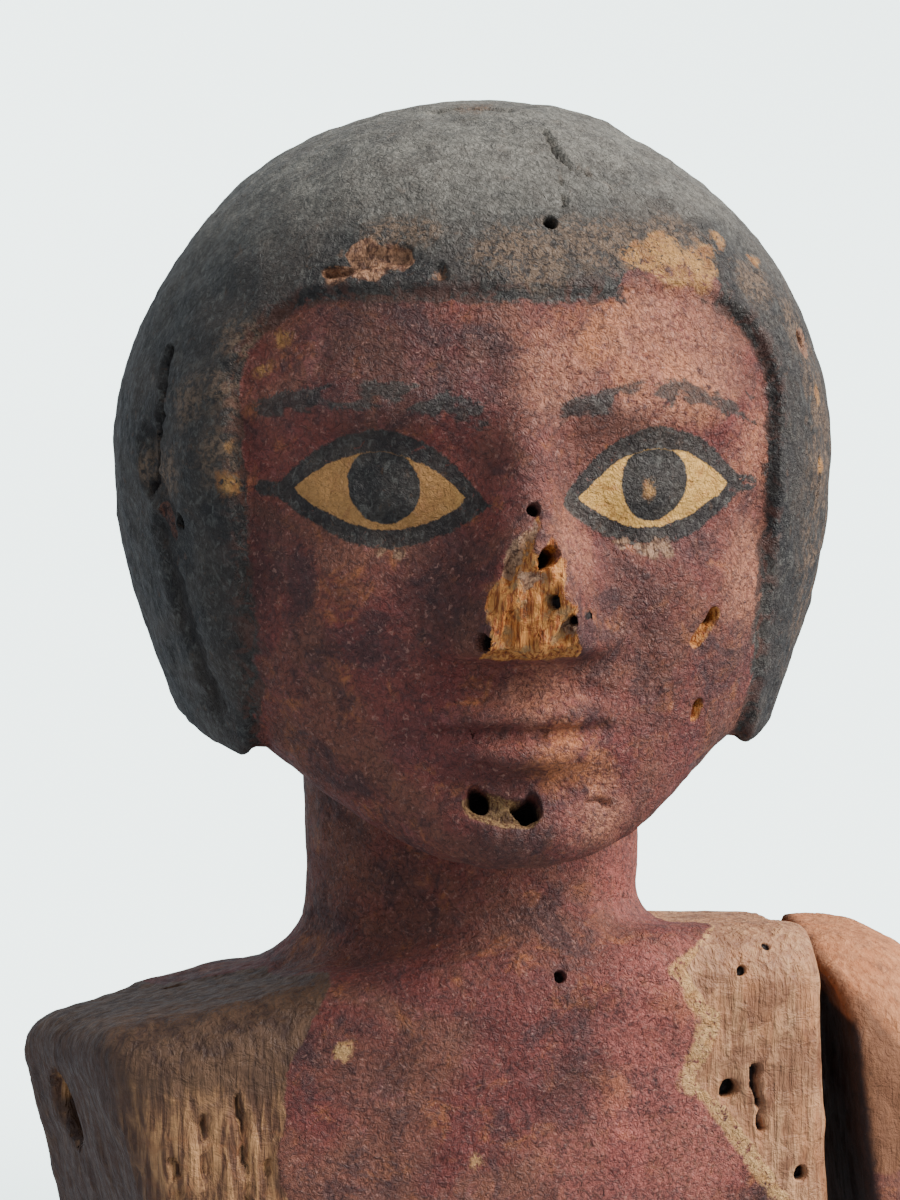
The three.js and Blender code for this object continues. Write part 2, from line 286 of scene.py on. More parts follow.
def body_form(points):
    x, y, z = points.T
    head = soft_min(face_form(*in_head(points)), hair_form(*in_head(points)), 0.3)
    torso = torso_form(points)
    for plane, rounding in ((RIGHT_JOINT, 3.0), (LEFT_JOINT, 1.2)):
        torso = soft_max(torso, beyond(plane, points), rounding)
    radius, along = peg_distance(points)
    torso = soft_max(torso, -np.maximum(radius - PEG_RADIUS, -PEG_DEPTH - along), 0.3)
    lower = soft_min(torso, neck_form(x, y, z), 2.2)
    return soft_max(soft_min(head, lower, 1.2), -z, CUT_ROUNDING)


def gap_beside(points, height, gap, lean):
    """Distance outside a plane that stands off the left joint by a gap at the given height."""
    point, normal = LEFT_JOINT
    rise = height - point[2]
    start = point + gap * normal + np.array([-normal[2] / normal[0] * rise, 0, rise])
    return beyond((start, joint_plane(0, math.radians(LEFT_LEAN_DEG + lean), 1)[1]), points)


def arm_form(points):
    x, y, z = points.T
    drop = ARM_TOP - z
    short = np.clip(ARM_CROWN - drop, 0, ARM_CROWN)
    inset = ARM_CROWN - np.sqrt(ARM_CROWN ** 2 - short ** 2)
    middle_x, middle_y = 22.6 + 0.13 * drop, TORSO_Y - 0.5 - 0.22 * drop
    half_depth = ARM_HALF_DEPTH - inset
    around = superellipse(x - middle_x, y - middle_y, ARM_HALF_WIDTH - inset, half_depth, half_depth, 2.2)
    side = soft_max((around - 1) * ARM_HALF_WIDTH, z - ARM_TOP, 0.4)
    gap = soft_min(-gap_beside(points, *ARM_GAP_ABOVE), -gap_beside(points, *ARM_GAP_BELOW), 0.8)
    side = soft_max(side, gap, 0.9)
    return soft_max(side, -z, CUT_ROUNDING)


def gradient(form, points, step=0.03):
    slope = np.empty_like(points)
    for axis in range(3):
        shift = np.zeros(3)
        shift[axis] = step
        slope[:, axis] = (form(points + shift) - form(points - shift)) / (2 * step)
    return slope


def draw_onto(form, points, rounds):
    for _ in range(rounds):
        value = form(points)
        slope = gradient(form, points)
        size = np.maximum((slope ** 2).sum(axis=1), 0.04)
        points = points - np.clip(value / size, -0.8, 0.8)[:, None] * slope
    return points


def unit(vectors):
    return vectors / np.maximum(np.linalg.norm(vectors, axis=1), 1e-9)[:, None]


def relax(form, mesh, points, rounds):
    """Slides the points over the surface to the middle of their neighbours, so that the faces grow even."""
    pairs = np.empty(len(mesh.edges) * 2, dtype=np.int64)
    mesh.edges.foreach_get("vertices", pairs)
    first, second = pairs.reshape(-1, 2).T
    count = len(points)
    neighbours = np.bincount(first, minlength=count) + np.bincount(second, minlength=count)
    for _ in range(rounds):
        sums = np.column_stack([
            np.bincount(first, ahead, count) + np.bincount(second, behind, count)
            for ahead, behind in zip(points[second].T, points[first].T)
        ])
        move = sums / neighbours[:, None] - points
        normals = unit(gradient(form, points))
        move -= (move * normals).sum(axis=1)[:, None] * normals
        points = draw_onto(form, points + 0.6 * move, 1)
    return points


def refine(piece, spots):
    """Splits the faces near each spot (x, y, z, radius) once."""
    shape = bmesh.new()
    shape.from_mesh(piece.data)
    shape.faces.ensure_lookup_table()
    middles = np.array([face.calc_center_median() for face in shape.faces]) / MM
    near = np.zeros(len(middles), bool)
    for x, y, z, radius in spots:
        near |= ((middles - (x, y, z)) ** 2).sum(axis=1) < radius ** 2
    edges = {edge for index in np.nonzero(near)[0] for edge in shape.faces[index].edges}
    ordered = sorted(edges, key=lambda edge: edge.index)
    bmesh.ops.subdivide_edges(shape, edges=ordered, cuts=1, use_grid_fill=True)
    shape.to_mesh(piece.data)
    shape.free()


# Fine meshes. The front is spread out before remeshing, so that it gets smaller faces than the back.

def spread(points, back_to_plain=False):
    x, y, z = points.T.copy()
    up = z - SPREAD_MIDDLE
    if back_to_plain:
        y = np.where(y < 0, y / FRONT_STRETCH, y)
    front = 1 + FRONT_SPREAD * smooth(5, -6, y)
    if back_to_plain:
        return np.column_stack([x / front, y, SPREAD_MIDDLE + up / front])
    stretched = np.where(y < 0, y * FRONT_STRETCH, y)
    return np.column_stack([x * front, stretched, SPREAD_MIDDLE + up * front])


def vertices(mesh):
    flat = np.empty(len(mesh.vertices) * 3)
    mesh.vertices.foreach_get("co", flat)
    return flat.reshape(-1, 3) / MM


def set_vertices(mesh, points):
    mesh.vertices.foreach_set("co", (points * MM).ravel())
    mesh.update()


def remeshed(mesh, voxel):
    rough = bpy.data.objects.new("rough", mesh)
    bpy.context.scene.collection.objects.link(rough)
    remesh = rough.modifiers.new("remesh", "REMESH")
    remesh.mode = "VOXEL"
    remesh.voxel_size = voxel * MM
    evaluated = rough.evaluated_get(bpy.context.evaluated_depsgraph_get())
    fine = bpy.data.meshes.new_from_object(evaluated)
    bpy.data.objects.remove(rough)
    return fine


def fine_copy(node, name):
    mesh = remeshed(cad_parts[node].data.copy(), ROUGH_VOXEL)
    set_vertices(mesh, spread(vertices(mesh)))
    fine = remeshed(mesh, FINE_VOXEL)
    fine.name = name
    set_vertices(fine, spread(vertices(fine), back_to_plain=True))
    piece = bpy.data.objects.new(name, fine)
    bpy.context.scene.collection.objects.link(piece)
    return piece


# Wear and breaks. Every spot is drawn onto the surface, so its depth is only roughly given.

def on_nose(x, z, *size):
    """A spot on the nose, by the head's own x and the height over the cut."""
    return (*from_head(x, -22.0, z - HEAD_Z), *size)


HOLES = [  # x, y, z, radius, depth
    (-0.1, -14.9, 66.2, 0.42, 1.3),
    (16.4, -11.8, 59.4, 0.60, 1.2),
    (1.9, -11.3, 22.6, 0.34, 0.7),
    (7.7, -17.9, 39.4, 0.34, 0.8),
    (12.8, -11.2, 14.8, 0.62, 1.1),
    (17.7, -10.5, 8.9, 0.45, 0.9),
    (13.5, -10.8, 21.9, 0.32, 0.4),
    (15.5, -9.7, 23.0, 0.3, 0.3),
    on_nose(0.9, 48.4, 0.66, 1.8),
    on_nose(1.2, 46.0, 0.34, 0.7),
    on_nose(2.1, 45.0, 0.36, 0.8),
    on_nose(-2.9, 43.9, 0.55, 1.1),
    on_nose(0.3, 51.1, 0.33, 0.9),
    (-5.4, -18.4, 34.6, 0.72, 1.9),
    (-2.9, -19.5, 34.3, 0.76, 1.9),
    (-19.8, -8.4, 49.6, 0.45, 0.9),
    (8.2, -18.2, 44.4, 0.46, 1.3),
]
CUTS = [  # dents with a sharp edge and a floor of bare wood
    ([(-5.3, -18.4, 34.3), (-4.1, -19.1, 34.0), (-3.0, -19.6, 34.1)], 0.85, 0.8),
    ([(8.2, -18.1, 44.5), (7.6, -18.4, 43.6), (7.2, -18.6, 43.1)], 0.42, 0.6),
    ([(7.7, -17.9, 39.3), (7.6, -17.9, 38.7)], 0.4, 0.5),
    ([(-12.5, -12.8, 63.7), (-11.4, -13.3, 63.7)], 0.36, 0.7),
    ([(-20.4, -6.7, 50.0), (-20.1, -7.4, 49.0)], 0.6, 0.4),
]
DENTS = [  # points along it, radius, depth
    ([(-11.4, -13.3, 64.2), (-10.2, -13.7, 64.4), (-8.6, -14.3, 64.7)], 0.8, 0.35),
    ([(-6.9, -15.6, 63.9), (-6.7, -15.7, 63.3)], 0.45, 0.3),
    ([(1.6, -8.7, 71.3), (1.6, -10.3, 70.4), (1.8, -11.1, 69.9), (3.1, -12.0, 69.1)], 0.2, 0.45),
    ([(1.4, -12.6, 68.7), (1.2, -14.0, 67.4), (0.7, -14.2, 67.2)], 0.18, 0.4),
    ([(-19.8, -5.4, 59.0), (-20.3, -6.2, 56.3), (-20.6, -6.4, 53.5), (-20.9, -5.5, 51.1)], 0.42, 0.8),
    ([(-20.9, -5.4, 54.0), (-20.8, -5.8, 51.7), (-20.2, -7.2, 50.2)], 1.3, 0.38),
    ([(-20.4, -6.4, 49.0), (-19.5, -6.9, 45.0), (-18.5, -7.3, 41.4), (-17.7, -7.4, 38.9)], 1.4, 0.42),
    ([(-5.2, -18.6, 37.0)], 0.5, 0.25),
    ([(0.7, -19.6, 34.6), (1.5, -19.7, 34.4), (2.3, -19.7, 34.2)], 0.36, 0.35),
    ([(14.4, -11.0, 15.8), (14.7, -11.0, 14.0), (15.0, -10.9, 12.0)], 0.36, 0.8),
    ([(16.8, -13.2, 52.4), (16.6, -13.3, 50.6)], 0.24, 0.4),
    ([(-3.5, -3.7, 72.9), (-2.1, -4.2, 72.9), (-0.7, -4.8, 72.9), (0.4, -5.4, 72.7)], 0.5, 0.25),
    ([(-17.2, -10.6, 16.6), (-16.6, -10.4, 10.0), (-16.8, -10.4, 2.0)], 0.34, 0.5),
    ([(-19.2, -10.2, 15.6), (-18.9, -10.2, 8.0)], 0.28, 0.45),
    ([(-20.9, -9.8, 13.0), (-20.4, -9.8, 4.0)], 0.32, 0.4),
    ([(-15.6, -10.9, 13.0), (-15.4, -10.9, 8.0)], 0.24, 0.4),
]
BARE_SPOTS = [  # x, y, z, radius: paint and ground gone, down to the wood
    (16.4, -11.8, 59.4, 0.9),
    (-10.3, -13.7, 64.4, 1.2),
    (-9.0, -14.2, 64.7, 0.9),
    (-8.4, -14.4, 64.1, 0.5),
    (-11.9, -13.0, 63.4, 0.5),
    (-6.8, -15.6, 63.4, 0.4),
    (17.2, -12.4, 43.6, 0.4),
]
OCHRE_SPOTS = [  # x, y, z, radius: paint worn down to the yellow ground
    (4.8, -15.8, 64.2, 1.0),
    (6.6, -15.6, 64.2, 1.7),
    (8.4, -15.2, 63.6, 1.2),
    (9.3, -14.0, 64.6, 0.45),
    (10.5, -12.8, 65.2, 0.4),
    (13.3, -11.7, 63.9, 0.5),
    (-17.7, -12.0, 54.1, 0.35),
    (-17.7, -12.2, 52.0, 0.45),
    (-16.2, -11.9, 58.4, 0.4),
    (-14.6, -12.0, 59.9, 0.3),
    (-3.0, -11.6, 12.0, 0.4),
    (-11.1, -11.3, 18.9, 0.6),
    (17.0, -12.4, 56.0, 0.6),
    (16.9, -12.9, 52.2, 0.5),
    (*from_head(7.4, -18.4, -0.3), 0.3),
]
RUBBED_SPOTS = [  # x, y, z, radius: black paint thinned to brown
    (-1.4, -16.0, 64.5, 2.2),
    (-3.4, -16.0, 64.6, 1.4),
    (1.6, -15.6, 65.3, 1.8),
    (3.4, -15.6, 65.3, 1.8),
    (7.4, -14.6, 65.0, 2.2),
    (-9.0, -13.5, 65.6, 1.5),
    (-7.3, -13.7, 66.0, 1.0),
    (-19.2, -8.8, 56.4, 1.3),
    (-18.4, -11.0, 57.0, 1.2),
    (-18.2, -11.4, 53.6, 1.2),
    (-19.9, -7.6, 52.4, 1.2),
    (-20.6, -5.8, 52.4, 1.4),
    (-16.6, -12.0, 59.5, 1.4),
    (15.6, -12.6, 60.6, 1.5),
    (17.2, -12.0, 55.4, 1.4),
    (17.0, -12.6, 52.0, 1.4),
    (12.2, -13.2, 62.6, 1.6),
    (-1.6, -4.2, 72.9, 1.2),
]
UNDER_EYES = [(x, -18.4, -3.0 - 0.06 * abs(x)) for x in (-7.6, -6.8, 5.8, 6.7, 7.6, 8.4)]
BARE_SPOTS += [(*from_head(*place), 0.5) for place in UNDER_EYES]
FADED_SPOTS = [  # x, y, z, radius: black paint gone from the red one at the hairline
    (4.3, -17.0, 62.7, 0.9),
    (5.7, -16.7, 62.6, 1.2),
    (7.4, -16.2, 62.7, 1.4),
    (8.8, -15.9, 62.8, 0.9),
]
THIN_SPOTS = [  # x, y, z, radius: red paint so thin that the yellow ground shows through
    (1.6, -18.2, 59.8, 1.6),
    (3.1, -18.9, 57.9, 1.2),
    (6.2, -18.4, 57.6, 1.5),
    (7.4, -18.5, 56.6, 1.3),
    (3.0, -17.5, 61.4, 1.2),
    (-0.8, -19.8, 38.1, 1.3),
    (0.8, -19.4, 36.3, 1.2),
    (-1.1, -19.7, 36.4, 1.2),
    (5.2, -11.3, 15.5, 1.2),
    (9.4, -11.0, 20.6, 1.2),
]
STAINS_AND_SHADE = [  # x, y, z, radius: red paint dark with dirt and with painted shade
    (*from_head(-7.5, -17.0, 6.8), 4.2),
    (*from_head(-2.6, -18.5, 6.4), 2.6),
    (*from_head(6.6, -19.0, -6.4), 2.0),
    (*from_head(-4.6, -20.0, -6.0), 2.4),
    (*from_head(-1.0, -20.0, -19.6), 2.2),
    (*from_head(-13.0, -13.0, -4.0), 3.0),
    (*from_head(11.5, -14.5, -11.0), 1.8),
    (2.5, -11.6, 15.8, 2.4),
]
PALE_SPOTS = [  # x, y, z, radius: red paint rubbed thin and dusty, and painted highlights on the lit side
    (*from_head(8.5, -16.5, 6.8), 4.2),
    (*from_head(1.5, -18.0, 6.0), 2.2),
    (*from_head(14.0, -13.0, 1.5), 2.6),
    (*from_head(13.4, -13.4, -5.5), 3.0),
    (*from_head(2.4, -20.5, -3.0), 1.6),
    (*from_head(1.0, -19.8, -11.0), 1.8),
    (*from_head(4.5, -18.5, -18.5), 1.6),
    (9.0, -11.4, 19.5, 4.6),
    (9.0, -6.0, 28.0, 4.0),
    (5.0, -11.6, 12.0, 4.0),
    (9.5, -11.4, 12.5, 5.0),
]
PLASTER_SPOTS = [  # x, y, z, radius: grey filling left on the break of the nose
    on_nose(-0.7, 50.0, 1.0),
    on_nose(-1.1, 48.6, 1.2),
    on_nose(-0.2, 47.2, 0.7),
    on_nose(2.0, 44.6, 0.5),
]
PLASTER_SPOTS += [(*from_head(*place), 0.9) for place in UNDER_EYES]
# The roll of hair at the figure's right temple
SIDE_ROLL = [(-19.1, -9.3, 57.0), (-19.1, -9.8, 52.0), (-18.7, -9.8, 47.5), (-17.6, -9.8, 42.0)]
# Where the red paint ends on the chest: heights, and the x there
LEFT_PAINT_EDGE = (
    [0, 7.4, 11.9, 15.6, 19.2, 22.4, 23.6, 25.2],
    [19.5, 17.1, 13.6, 10.3, 12.0, 9.6, 12.0, 18.0],
)
RIGHT_PAINT_EDGE = ([0, 10.6, 16.5, 19.4, 21.9, 24], [-14.0, -14.4, -15.0, -14.0, -12.4, -10.4])
SHOULDERS_END = 27


def way_to_line(points, line):
    """Distance from each point to a line of straight stretches, or to its only point."""
    line = np.array(line, float)
    if len(line) == 1:
        return np.linalg.norm(points - line[0], axis=1)
    best = np.full(len(points), np.inf)
    for start, end in zip(line[:-1], line[1:]):
        along = end - start
        share = np.clip((points - start) @ along / (along @ along), 0, 1)
        best = np.minimum(best, np.linalg.norm(points - start - share[:, None] * along, axis=1))
    return best


def on_surface(form, spots):
    """The spots with their places drawn onto the surface, and the surface's outward direction there."""
    places = draw_onto(form, np.array([spot[:3] for spot in spots], float), 12)
    return places, unit(gradient(form, places))


def dig(form, points):
    """Breaks, worm holes and cracks.

    Returns the moved points, how much painted shade each one gets in a hollow, and the distances inside the
    cuts.
    """
    normals = unit(gradient(form, points))
    depth = np.zeros(len(points))
    shaken = points + 0.22 * np.column_stack([noise(points, 0.8, seed) for seed in (33, 34, 35)])
    for line, radius, deep in DENTS:
        line, _ = on_surface(form, line)
        ragged = radius * (1 + 0.35 * noise(points, 0.5, 31))
        depth = np.maximum(depth, deep * (1 - smooth(0.25, 1.0, way_to_line(shaken, line) / ragged)))
    # dark is painted shade in the hollows: deeper dents are darker, and so are the floors of the cuts and
    # the worm holes.
    dark = np.clip(depth / 0.9, 0, 0.75)
    cut = np.full(len(points), NOWHERE)
    for line, radius, deep in CUTS:
        line, _ = on_surface(form, line)
        inside = radius * (1 + 0.2 * noise(points, 0.9, 36)) - way_to_line(points, line)
        cut = np.maximum(cut, inside)
        dark = np.maximum(dark, 0.42 * smooth(0.1, 0.55, inside))
        floor = 0.1 * grain(points) * (inside > 0.2)
        depth = np.maximum(depth, deep * smooth(-0.05, 0.3, inside) + floor)
    moved = points - depth[:, None] * normals
    places, directions = on_surface(form, HOLES)
    for place, direction, (_, _, _, radius, deep) in zip(places, directions, HOLES):
        away = points - place
        height = away @ direction
        across = np.linalg.norm(away - height[:, None] * direction, axis=1)
        inside = 1 - smooth(0.78, 1.08, across / (radius * (1 + 0.28 * noise(points, 0.7, 32))))
        inside *= np.abs(height) < 2.5
        moved -= (inside * deep)[:, None] * direction
        dark = np.maximum(dark, inside)
    return moved, dark, cut


def grain(points):
    """Lengthwise fibres of bare wood, from about -1 to 1."""
    return 0.6 * noise(points, (0.45, 0.45, 5.0), 41) + 0.4 * noise(points, (1.1, 1.1, 9.0), 42)


def spots_area(form, points, spots, seed):
    """Distance inside the nearest spot, with a ragged edge, in millimetres."""
    places, _ = on_surface(form, spots)
    inside = np.full(len(points), NOWHERE)
    for place, spot in zip(places, spots):
        inside = np.maximum(inside, spot[3] - np.linalg.norm(points - place, axis=1))
    return inside + 0.5 * layered_noise(points, 1.1, seed)


def edge_at(edge, z):
    return np.interp(z, *edge)


# Painted areas, as distances inside them

def hair_area(points):
    x, y, z = in_head(points)
    inside = np.maximum(opening_distance(x, z) - 0.1, (y + 3) / 2)
    inside = np.minimum(inside, z - HAIR_RIM - 0.12 * y + 0.9)
    inside = np.minimum(inside, -spots_area(body_form, points, FADED_SPOTS, 61))
    around_neck = np.hypot((points[:, 0] - NECK_X) / 11.7, (points[:, 1] - NECK_Y) / 11.8) - 1
    off_neck = np.maximum(around_neck * 11, z - HAIR_RIM - 2)
    inside = np.where(z < HAIR_RIM + 3, np.minimum(inside, off_neck), inside)
    return inside + 0.25 * layered_noise(points, 3.0, 51)


def eye_areas(points):
    """The almond of the eye, its painted line with a tail, the iris and the brow, on both sides."""
    x, y, z = in_head(points)
    outwards = np.abs(x) - EYE_X
    up = z - EYE_LEVEL - 0.05 * outwards
    arch = 1 - (outwards / 4.6) ** 2
    almond = np.minimum(2.35 * arch - up, up + 1.95 * arch) * 0.9
    iris = 1.95 - np.hypot(outwards + 0.1, (up - 0.5) / 1.08)
    tail = 0.4 - way_to_line(np.column_stack([outwards, up, up * 0]), [(4.4, -0.1, 0), (6.2, -0.1, 0)])
    line = np.maximum(almond + 1.0 + 0.12 * np.sign(up) * arch, tail)
    brow_up = z - BROW_LEVEL - 0.55 + 0.035 * (outwards - 0.5) ** 2
    brow = 0.72 - np.maximum(np.abs(brow_up), (np.abs(outwards - 0.4) - 4.9) * 0.6)
    wobble = 0.12 * layered_noise(points, 1.2, 52)
    off_face = np.where(y < -6, 0.0, NOWHERE)
    return [area + wobble + off_face for area in (almond, line, iris, brow)]


def break_area(points):
    """Distance inside the broken face of the nose."""
    x, y, z = in_head(points)
    _, over = nose_shape(x, z)
    inside = np.minimum(over, z - NOSE_FOOT + 0.2)
    inside = np.where(z > BROW_LEVEL - 3, NOWHERE, inside) + 0.25 * layered_noise(points, 1.0, 53)
    return np.where((y < -15) & (np.abs(x) < 5), inside, NOWHERE)


def bare_area(points):
    x, y, z = points.T
    wander = 0.9 * layered_noise(points, 3.5, 54)
    left = x - edge_at(LEFT_PAINT_EDGE, z) - 2.0 * smooth(0, 8, y)
    right = edge_at(RIGHT_PAINT_EDGE, z) - x - 5.0 * smooth(0, 8, y)
    joint = beyond(RIGHT_JOINT, points) + 0.7
    body = np.maximum(np.maximum(left, right) + wander, joint)
    body = np.where(z < SHOULDERS_END, body, NOWHERE)
    body = np.maximum(body, (0.6 - z) * 2)
    body = np.maximum(body, break_area(points))
    return np.maximum(body, spots_area(body_form, points, BARE_SPOTS, 55))


def ochre_area(points):
    x, y, z = points.T
    wander = 0.7 * layered_noise(points, 2.5, 56)
    left = x - edge_at(LEFT_PAINT_EDGE, z) + 1.0 - 2.0 * smooth(0, 8, y) + wander
    left = np.where(z < SHOULDERS_END, left, NOWHERE)
    return np.maximum(left, spots_area(body_form, points, OCHRE_SPOTS, 57))


def store(mesh, name, values):
    attribute = mesh.attributes.new(name, "FLOAT", "POINT")
    attribute.data.foreach_set("value", np.asarray(values, np.float32))


def lump(points):
    """Shallow lumps of the ground, from about -1 to 1."""
    return noise(points, 2.6, 2)


def off_cut(points):
    """Nothing on the flat cut underneath and all from 0.6 mm above it, so that the cut stays flat."""
    return smooth(0, 0.6, points[:, 2])


def carve(points):
    """Tool marks, fibres and lumps of the ground on the head and torso."""
    normals = unit(gradient(body_form, points))
    bare = smooth(-0.2, 0.5, bare_area(points))
    broken = smooth(-0.1, 0.3, break_area(points))
    hair = smooth(-0.4, 0.4, hair_area(points))
    torn = bare * smooth(-11, -14, points[:, 0]) * smooth(18, 15, points[:, 2])
    lumps = lump(points)
    height = 0.15 * noise(points, 7.0, 1) + 0.11 * lumps + 0.065 * noise(points, 1.1, 3)
    height += 0.035 * noise(points, 0.6, 4) * (1 - bare)
    height += bare * (0.07 * grain(points) - 0.12)
    height += torn * 0.14 * noise(points, (0.8, 0.8, 7.0), 8)
    height += broken * (0.3 * noise(points, (0.5, 0.7, 3.0), 5) + 0.16 * noise(points, 0.9, 6))
    height += hair * (0.05 * noise(points, 1.6, 7) + 0.35 * bell(way_to_line(points, SIDE_ROLL), 1.8))
    height *= off_cut(points)
    return points + height[:, None] * normals


# Materials

def linear(red, green, blue):
    def channel(value):
        value = value / 255
        return value / 12.92 if value <= 0.04045 else ((value + 0.055) / 1.055) ** 2.4
    return channel(red), channel(green), channel(blue), 1.0


class Finish:
    """A Principled material that is built up from noise, stored areas and colours."""

    def __init__(self, name):
        self.material = bpy.data.materials.new(name)
        self.material.use_nodes = True
        self.tree = self.material.node_tree
        self.shader = self.tree.nodes["Principled BSDF"]
        self.place = self.add("ShaderNodeTexCoord").outputs["Object"]

    def add(self, kind, **settings):
        node = self.tree.nodes.new(kind)
        for key, value in settings.items():
            setattr(node, key, value)
        return node

    def feed(self, socket, value):
        if isinstance(value, bpy.types.NodeSocket):
            self.tree.links.new(value, socket)
        else:
            socket.default_value = value

    def area(self, name):
        return self.add("ShaderNodeAttribute", attribute_name=name).outputs["Fac"]

    def place_along(self, axis):
        node = self.add("ShaderNodeSeparateXYZ")
        self.feed(node.inputs[0], self.place)
        return node.outputs[axis]

    def math(self, operation, a, b=0.0, c=0.0):
        node = self.add("ShaderNodeMath", operation=operation)
        for socket, value in zip(node.inputs, (a, b, c)):
            self.feed(socket, value)
        return node.outputs[0]

    def noise(self, size, detail=3.0, roughness=0.55, distortion=0.0, stretch=(1, 1, 1), shift=0.0):
        """Noise from 0 to 1 with lumps of the given size in millimetres."""
        scaled = self.add("ShaderNodeVectorMath", operation="MULTIPLY_ADD")
        self.feed(scaled.inputs[0], self.place)
        scaled.inputs[1].default_value = [1 / (size * MM * part) for part in stretch]
        scaled.inputs[2].default_value = (shift, shift * 1.7, shift * 0.6)
        node = self.add("ShaderNodeTexNoise")
        self.feed(node.inputs["Vector"], scaled.outputs[0])
        node.inputs["Scale"].default_value = 1.0
        node.inputs["Detail"].default_value = detail
        node.inputs["Roughness"].default_value = roughness
        node.inputs["Distortion"].default_value = distortion
        return node.outputs["Fac"]

    def step(self, value, low, high, top=1.0):
        node = self.add("ShaderNodeMapRange", interpolation_type="SMOOTHSTEP")
        self.feed(node.inputs["Value"], value)
        for name, number in (("From Min", low), ("From Max", high), ("To Min", 0.0), ("To Max", top)):
            node.inputs[name].default_value = number
        return node.outputs["Result"]

    def mask(self, name, ragged, noise, soft=0.12, top=1.0):
        """How much of a stored area covers a point, with its edge pushed about by the noise."""
        centred = self.math("SUBTRACT", noise, 0.5)
        pushed = self.math("MULTIPLY_ADD", centred, 2 * ragged, self.area(name))
        return self.step(pushed, -soft, soft, top)

    def mix(self, amount, a, b):
        node = self.add("ShaderNodeMix", data_type="RGBA")
        self.feed(node.inputs[0], amount)
        self.feed(node.inputs[6], a)
        self.feed(node.inputs[7], b)
        return node.outputs[2]

    def two_tones(self, value, low, high, first, second):
        """One tone below the window of values and the other above it."""
        return self.mix(self.step(value, low, high), linear(*first), linear(*second))

    def patches(self, colour, tint, window, *noise, **shift):
        """The colour with patches of a tint where the noise passes the window: from, to and most cover."""
        return self.mix(self.step(self.noise(*noise, **shift), *window), colour, linear(*tint))

    def finish(self, colour, roughness, heights):
        """heights is a list of (height socket, depth in millimetres)."""
        self.feed(self.shader.inputs["Base Color"], colour)
        self.feed(self.shader.inputs["Roughness"], roughness)
        self.shader.inputs["Specular IOR Level"].default_value = SPECULAR
        normal = None
        for height, depth in heights:
            bump = self.add("ShaderNodeBump")
            bump.inputs["Distance"].default_value = depth * MM
            self.feed(bump.inputs["Height"], height)
            if normal:
                self.feed(bump.inputs["Normal"], normal)
            normal = bump.outputs["Normal"]
        self.feed(self.shader.inputs["Normal"], normal)
        return self.material


def bare_wood(f, light, dark, orange):
    """Old bare wood, with fibres along the piece's height: its colour and its fibres."""
    fibres = f.noise(0.42, 3, 0.6, 0.4, (1, 1, 9))
    colour = f.mix(f.step(fibres, 0.30, 0.72), dark, light)
    colour = f.mix(f.step(f.noise(2.2, 3, 0.6, 0.5, (1, 1, 2.5), 3.1), 0.45, 0.75, 0.7), colour, orange)
    colour = f.patches(colour, (112, 78, 60), (0.54, 0.72, 0.55), 0.9, 3, 0.65, 1.0, (1, 1, 2), 5.2)
    return colour, fibres


def red_paint(f, pale=0.0, thin=0.0, stain_and_shade=0.0):
    """Thin red-brown paint, stained and rubbed, over a yellow ground, with painted shade, painted
    highlights and painted glints: its colour and its fine relief.
    """
    fine = f.noise(0.36, 3, 0.7, 1.2)
    colour = f.two_tones(f.noise(7.0, 3, 0.6, 0.8), 0.36, 0.64, (134, 67, 60), (140, 86, 68))
    colour = f.patches(colour, (194, 118, 70), (0.54, 0.72, 0.7), 2.4, 4, 0.7, 0.6, shift=8.0)
    colour = f.patches(colour, (184, 108, 104), (0.56, 0.74, 0.5), 1.6, 4, 0.65, 0.8, shift=17.0)
    colour = f.patches(colour, (80, 52, 52), (0.48, 0.66, 0.8), 3.4, 4, 0.7, 0.7, shift=2.0)
    colour = f.mix(f.step(f.area("lump"), 0.1, -0.9, 0.4), colour, linear(84, 54, 52))
    colour = f.mix(thin, colour, linear(208, 128, 82))
    # The pale tone is rubbed, dusty paint and also a painted highlight on the lit side: pinker on the
    # chest, tan on the head.
    dusty = f.mix(f.step(f.place_along("Z"), *NECK_FOOT), linear(208, 117, 104), linear(222, 146, 112))
    colour = f.mix(pale, colour, dusty)
    colour = f.mix(f.step(fine, 0.44, 0.64, 0.55), colour, linear(62, 42, 44))
    # Dirt stains and painted shade darken the red paint.
    colour = f.mix(stain_and_shade, colour, linear(64, 43, 43))
    # Fine pale specks are painted glints.
    colour = f.patches(colour, (208, 152, 134), (0.58, 0.74, 0.42), 0.3, 2, 0.65, 0.8, shift=4.0)
    return colour, fine


def black_paint(f):
    """Dull black paint, brown where thin, grey where dusty: its colour and its fine relief."""
    fine = f.noise(0.34, 3, 0.7, 0.8, (1, 1, 1.5), shift=6.0)
    colour = f.two_tones(f.noise(4.5, 3, 0.6, 0.6, shift=1.0), 0.35, 0.7, (47, 43, 42), (72, 63, 57))
    colour = f.patches(colour, (98, 90, 80), (0.52, 0.74, 0.5), 1.3, 4, 0.7, 0.6, shift=9.0)
    colour = f.patches(colour, (122, 88, 64), (0.60, 0.72, 0.35), 0.9, 3, 0.7, 0.6, shift=19.0)
    return f.mix(f.step(fine, 0.48, 0.72, 0.45), colour, linear(128, 126, 118)), fine


